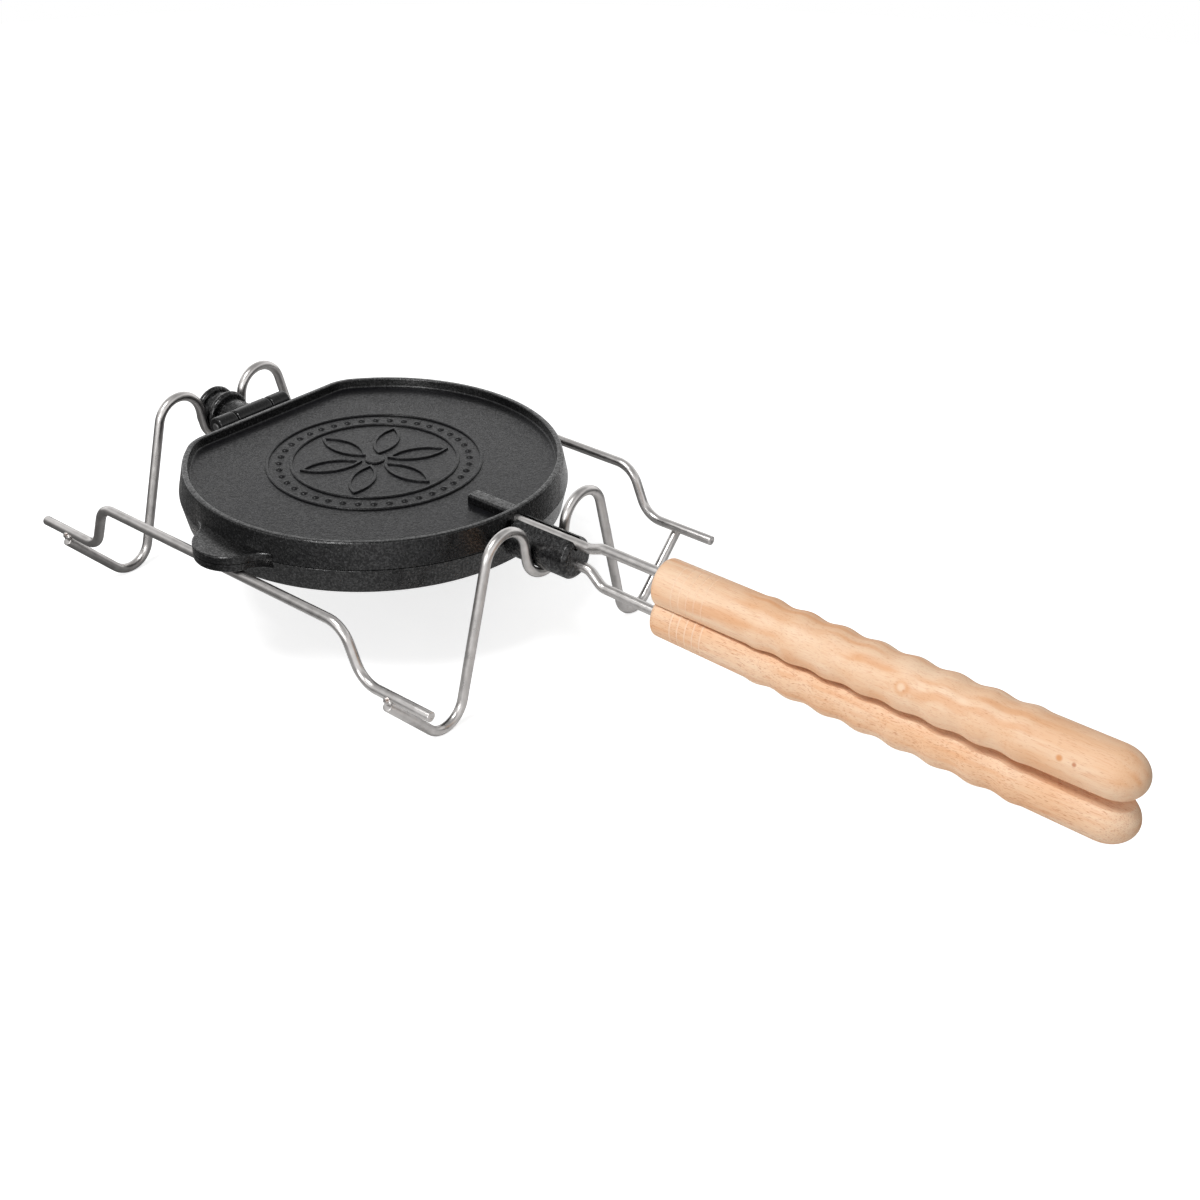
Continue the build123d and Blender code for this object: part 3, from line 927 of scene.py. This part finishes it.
# how near to the floor or a knuckle a face takes its finish, and how far from the rim or hinge
finishReach = {"floor": 0.3, "rim": 4.0, "knuckle": 0.1, "neck": 0.5}


def paintFinishes(bm):
    # the recess floor and the knuckles are smoother than the walls, and the trunnions are rougher
    knuckleReach = hinge["knuckle"] + finishReach["knuckle"]
    neckEnd = hingePin.x - hinge["knuckle"] - finishReach["neck"]
    for face in bm.faces:
        centre = face.calc_center_median()
        fromPin = math.hypot(centre.x - hingePin.x, centre.z - hingePin.z)
        offFloor = abs(abs(centre.z) - recessFloor)
        if offFloor < finishReach["floor"] and centre.length < plate["radius"] - finishReach["rim"]:
            face.material_index = floorFinish
        elif fromPin < knuckleReach and abs(centre.y) < outerEnd + finishReach["knuckle"]:
            face.material_index = knuckleFinish
        elif centre.x > plate["radius"] or centre.x < neckEnd:
            face.material_index = trunnionFinish


def turnedOver(bm):
    bmesh.ops.scale(bm, vec=(1, 1, -1), verts=bm.verts[:])
    return bm


def makePlates():
    lid = combine(plateBody(), [lobeTab(), *lidKnuckles(), rodBoss()])
    lid = combine(lid, [pinHole(outerEnd, hinge["pin"])], "DIFFERENCE")
    paintFinishes(lid)
    addTo(lid, studGrid())
    addTo(lid, rosette())
    storePiece("lid", lid, castIron, "upper_iron", "upper_plate", True)
    fittings = [turnedOver(lobeTab()), *middleKnuckle(), spool(), sleeve()]
    lower = combine(turnedOver(plateBody()), fittings)
    lower = combine(lower, [pinHole(middleHalf, hinge["pin"] + hinge["pinClearance"])], "DIFFERENCE")
    paintFinishes(lower)
    addTo(lower, turnedOver(studGrid()))
    storePiece("lowerPlate", lower, castIron, "lower_iron", "lower_plate", True)
    pinHalf = outerEnd + hinge["pinOverhang"]
    pinStart = Vector((hingePin.x, -pinHalf, hingePin.z))
    pin = roundedBar(pinStart, plusY, 2 * pinHalf, hinge["pin"], hinge["pinEdge"])
    storePiece("hingePin", pin, [pinSteel], "upper_iron", "hinge_pin")


# Rods and grips

grip = {
    "bareRod": 50.0, "length": 228.9, "radius": 11.5, "flat": 7.7, "edge": 2.4, "dome": 14.0,
    "grooveStart": 12.0, "grooveStep": 4.1, "grooves": 5, "grooveHalf": 0.45, "grooveDepth": 0.3,
    "waveStart": 55.7, "waveLength": 17.66, "waves": 7, "waveHeight": 0.6,
    "upperOffset": 3.1, "upperDroop": 0.55, "lowerOffset": -2.2, "lowerDroop": 1.75,
    "sides": 72, "step": 1.1, "fineStep": 0.225, "fineLead": 1.0, "edgeSteps": 6, "domeSteps": 14,
    "bore": 15.0, "boreRoom": 0.15,
}
gripStart = sleeveEnd + grip["bareRod"]

# sizes in millimetres, along the grain and across it; a knot is its place, its size, its colour
# and the strength of that colour
beechLook = {
    "pale": colour(248, 215, 183), "tan": colour(240, 194, 154), "orange": colour(225, 154, 96),
    "fibre": colour(222, 156, 112), "fleck": colour(190, 108, 64), "cut": colour(253, 228, 204),
    "wanderSize": (70, 17), "ringSpread": (-0.9, 1.0), "bandSize": (55, 8), "bandSpread": (0.4, 0.65),
    "cloudSize": (42, 10), "cloudSpread": (0.3, 0.7), "fibreSize": (11, 0.5), "fibreSpread": (0.48, 0.8),
    "fleckSize": (2.8, 0.3), "fleckSpread": 0.07, "gloss": 0.4, "roughness": 0.5, "cloudSway": 0.2,
    "fleckRough": 0.12, "fibreRise": 0.5, "fleckSink": 0.4, "depth": 0.05,
    "firstGroove": (toFrame @ Vector((gripStart + grip["grooveStart"], 0, 0))).x,
    "grooveStep": grip["grooveStep"] / 1000, "grooves": grip["grooves"], "knots": [],
}
upperBeech = beechMaterial("beechUpper", beechLook | {
    "heart": (0, -27, -81), "tilt": (0, 0.03, -0.05), "ring": 4.6, "wander": 5.5, "ringDepth": 0.5,
    "fibreDepth": 0.5, "fleckFrom": 0.64, "fleckDepth": 0.35, "cutDepth": 0.35,
    "knots": [
        ((311.6, -10.7, 10.6), 4.6, "orange", 0.55), ((311.2, -10.7, 10.8), 2.6, "pale", 0.9),
        ((312.6, -10.9, 9.8), 0.9, "fibre", 0.8), ((380.4, -11.1, 8.7), 1.9, "orange", 0.9),
        ((386.6, -11.2, 8.4), 1.3, "fleck", 0.75),
    ],
})
lowerBeech = beechMaterial("beechLower", beechLook | {
    "heart": (0, -10, -86), "tilt": (0, 0.02, 0.04), "ring": 4.2, "wander": 4.0, "ringDepth": 0.35,
    "fibreDepth": 0.6, "fleckFrom": 0.6, "fleckDepth": 0.5, "cutDepth": 0.6,
})
print("materials ready")


def bell(share):
    # 1 at 0, falling in a smooth wave to 0 at 1
    return (1 + math.cos(math.pi * share)) / 2


def gripRadius(x):
    # radius of the turned grip at a distance from its near end
    radius = grip["radius"]
    waveStart = grip["waveStart"]
    waveEnd = waveStart + grip["waves"] * grip["waveLength"]
    lead = grip["waveLength"] / 3
    if waveStart <= x <= waveEnd:
        radius += grip["waveHeight"] * math.cos(math.tau * (x - waveStart) / grip["waveLength"])
    elif waveStart - lead < x < waveEnd + lead:
        radius += grip["waveHeight"] * bell(max(waveStart - x, x - waveEnd) / lead)
    for i in range(grip["grooves"]):
        away = abs(x - grip["grooveStart"] - i * grip["grooveStep"]) / grip["grooveHalf"]
        if away < 1:
            radius -= grip["grooveDepth"] * bell(away)
    edge, dome = grip["edge"], grip["dome"]
    domeX = grip["length"] - dome
    if x < edge:
        radius -= edge - math.sqrt(max(0, edge ** 2 - (edge - x) ** 2))
    if x > domeX:
        radius *= math.sqrt(max(0, 1 - ((x - domeX) / dome) ** 2))
    return radius


def turnedGrip():
    domeX = grip["length"] - grip["dome"]
    fineStart = grip["grooveStart"] - grip["fineLead"]
    fineEnd = grip["grooveStart"] + grip["grooves"] * grip["grooveStep"]
    marks = [grip["edge"] * (1 - math.cos(turn)) for turn in quarterTurn(grip["edgeSteps"])]
    while marks[-1] < domeX:
        fine = fineStart < marks[-1] < fineEnd
        marks.append(min(marks[-1] + (grip["fineStep"] if fine else grip["step"]), domeX))
    marks += [domeX + grip["dome"] * math.sin(turn) for turn in quarterTurn(grip["domeSteps"])[1:]]
    profile = [(0, 0)] + [(mark, gripRadius(mark)) for mark in marks]
    bm = turnedBar(profile, origin, plusX, grip["sides"])
    geom = bm.verts[:] + bm.edges[:] + bm.faces[:]
    cut = bmesh.ops.bisect_plane(bm, geom=geom, plane_co=(0, 0, -grip["flat"]), plane_no=(0, 0, -1),
                                 clear_outer=True, dist=0.0001)["geom_cut"]
    bmesh.ops.contextual_create(bm, geom=only(bmesh.types.BMEdge, cut))
    faceOutwards(bm)
    return bm


def makeRod(side, start, height):
    # the rod leaves its plate level, steps to the grip's line and runs on inside the grip
    atGrip = rod[side + "AtGrip"]
    slope = math.tan(math.radians(grip[side + "Droop"]))
    jog = sleeveEnd + rod["jogStart"]
    points = [complex(start, height), complex(jog, height)]
    for x in (jog + rod["jogLength"], gripStart + rod["inGrip"]):
        points.append(complex(x, atGrip - (x - gripStart) * slope))
    bm = bentWire(roundCorners(points, [rod["bend"]] * 2), origin, plusX, plusZ)
    storePiece(side + "Rod", bm, [steel], side + "_iron", side + "_rod")


def makeGrip(side, wood):
    atGrip = rod[side + "AtGrip"]
    bm = turnedGrip()
    if side == "lower":
        turnedOver(bm)
    place = Matrix.Translation((gripStart, 0, atGrip - grip[side + "Offset"]))
    bm.transform(place @ Matrix.Rotation(math.radians(grip[side + "Droop"]), 4, "Y"))
    mouth = Vector((gripStart - overrun, 0, atGrip))
    bore = boreCutter(mouth, plusX, grip["bore"] + overrun, wire["radius"] + grip["boreRoom"])
    bm = combine(bm, [bore], "DIFFERENCE")
    storePiece(side + "Grip", bm, [wood], side + "_iron", side + "_grip", True)


# All the pieces

makeStand()
makePlates()
makeRod("upper", upperRodStart, rod["upperRise"])
makeGrip("upper", upperBeech)
makeRod("lower", plate["radius"] + rod["lidGap"], -rod["lowerDrop"])
makeGrip("lower", lowerBeech)


# Floor, light and camera

# distances in metres; a pair is where a soft step begins and ends
studio = {
    "right": (0.783, 0.622, 0), "floorRadius": 1.6, "floorLevel": 0.85, "floorSeen": 0.7,
    "floorFar": 0.6, "floorFarAt": (0.35, 0.8), "floorGloss": 0.05, "floorFlag": 0.12,
    "floorFlagAt": (0.1, 0.28),
    "ambient": 0.35, "sweep": 1.2, "overhead": 0.4, "overheadAt": (0.4, 0.8),
    "flagLevel": 0.2, "flagAt": (0.8, 1.0), "flagTopAt": (0.35, 0.6),
}
lamps = {
    "main": {"spot": (-0.1, -0.6, 1.2), "size": 0.45, "power": 8.0},
    "front": {"spot": (0.25, -1.15, 0.5), "size": 0.45, "power": 3.6},
}
lampTarget = Vector((0, 0, 0.05))


def offMiddle(graph, place):
    # how far a place lies to the left or right of the object
    return graph.vector("DOT_PRODUCT", place, studio["right"], output=1).math("ABSOLUTE")


def grey(level):
    return (level, level, level, 1)


def studioFloor():
    # takes the object's shadow, glows white to the camera, most of all far out, and is dark at
    # the sides where polished surfaces mirror it
    graph = newMaterial("studioFloor")
    mirrored = graph.rayIs("Glossy")
    away = graph.vector("LENGTH", graph.coordinates(), output=1)
    seen = studio["floorSeen"] + away.between(*studio["floorFarAt"]) * studio["floorFar"]
    glow = graph.rayIs("Camera") * seen + (mirrored + graph.rayIs("Transmission")) * studio["floorGloss"]
    flag = mirrored * offMiddle(graph, graph.coordinates()).between(*studio["floorFlagAt"])
    return graph.finish({
        "Base Color": graph.mix(flag, grey(studio["floorLevel"]), grey(studio["floorFlag"])),
        "Roughness": 0.9,
        "Specular IOR Level": 0.1,
        "Emission Color": graph.add("ShaderNodeCombineColor", {}, [glow, glow, glow]),
        "Emission Strength": 1.0,
    })


def makeWorld():
    # white to the camera; mirrored, it is greyer overhead and has a dark flag on each side
    world = bpy.data.worlds.new("studioWorld")
    bpy.context.scene.world = world
    graph = Graph(world, "Background")
    camera = graph.rayIs("Camera")
    mirrored = graph.rayIs("Glossy") + graph.rayIs("Transmission")
    direction = graph.coordinates("Generated")
    up = graph.axis(direction, "Z")
    flag = offMiddle(graph, direction).between(*studio["flagAt"]) * (1 - up.between(*studio["flagTopAt"]))
    top = 1 - up.between(*studio["overheadAt"]) * (1 - studio["overhead"])
    sweep = top * (1 - flag * (1 - studio["flagLevel"])) * studio["sweep"]
    strength = camera + mirrored * sweep + (1 - camera - mirrored) * studio["ambient"]
    graph.finish({"Color": grey(1), "Strength": strength})


def makeStudio():
    bm = bmesh.new()
    bmesh.ops.create_circle(bm, cap_ends=True, radius=studio["floorRadius"], segments=96)
    mesh = newMesh("floor", bm)
    mesh.materials.append(studioFloor())
    floor = newObject("floor", mesh)
    makeWorld()
    for name, look in lamps.items():
        lamp = bpy.data.lights.new(name, "AREA")
        lamp.shape = "DISK"
        lamp.size = look["size"]
        lamp.energy = look["power"]
        holder = newObject(name, lamp)
        holder.location = look["spot"]
        aim = lampTarget - holder.location
        holder.rotation_euler = aim.to_track_quat("-Z", "Y").to_euler()
    print("studio ready")


makeStudio()

# the distance and the target are in millimetres, the target's height from the ground
shot = {
    "azimuth": 38.44, "elevation": 30.9, "roll": 1.04, "distance": 778.06, "target": (147.29, 0, 52.3),
    "lens": 49.925, "sensor": 36,
}


def makeCamera():
    camera = bpy.data.cameras.new("camera")
    camera.sensor_width = shot["sensor"]
    camera.lens = shot["lens"]
    camera.clip_start = 0.01
    holder = newObject("camera", camera)
    azimuth, elevation = math.radians(shot["azimuth"]), math.radians(shot["elevation"])
    level = math.cos(elevation)
    back = Vector((math.sin(azimuth) * level, -math.cos(azimuth) * level, math.sin(elevation)))
    right = Vector((math.cos(azimuth), math.sin(azimuth), 0))
    facing = Matrix((right, back.cross(right), back)).transposed()
    roll = Matrix.Rotation(math.radians(shot["roll"]), 3, "Z")
    target = Vector(shot["target"]) - Vector((0, 0, axisHeight))
    place = Matrix.Translation(toFrame @ (target + back * shot["distance"]))
    holder.matrix_world = place @ (facing @ roll).to_4x4()
    bpy.context.scene.camera = holder


makeCamera()
bpy.context.scene.view_settings.view_transform = "Standard"
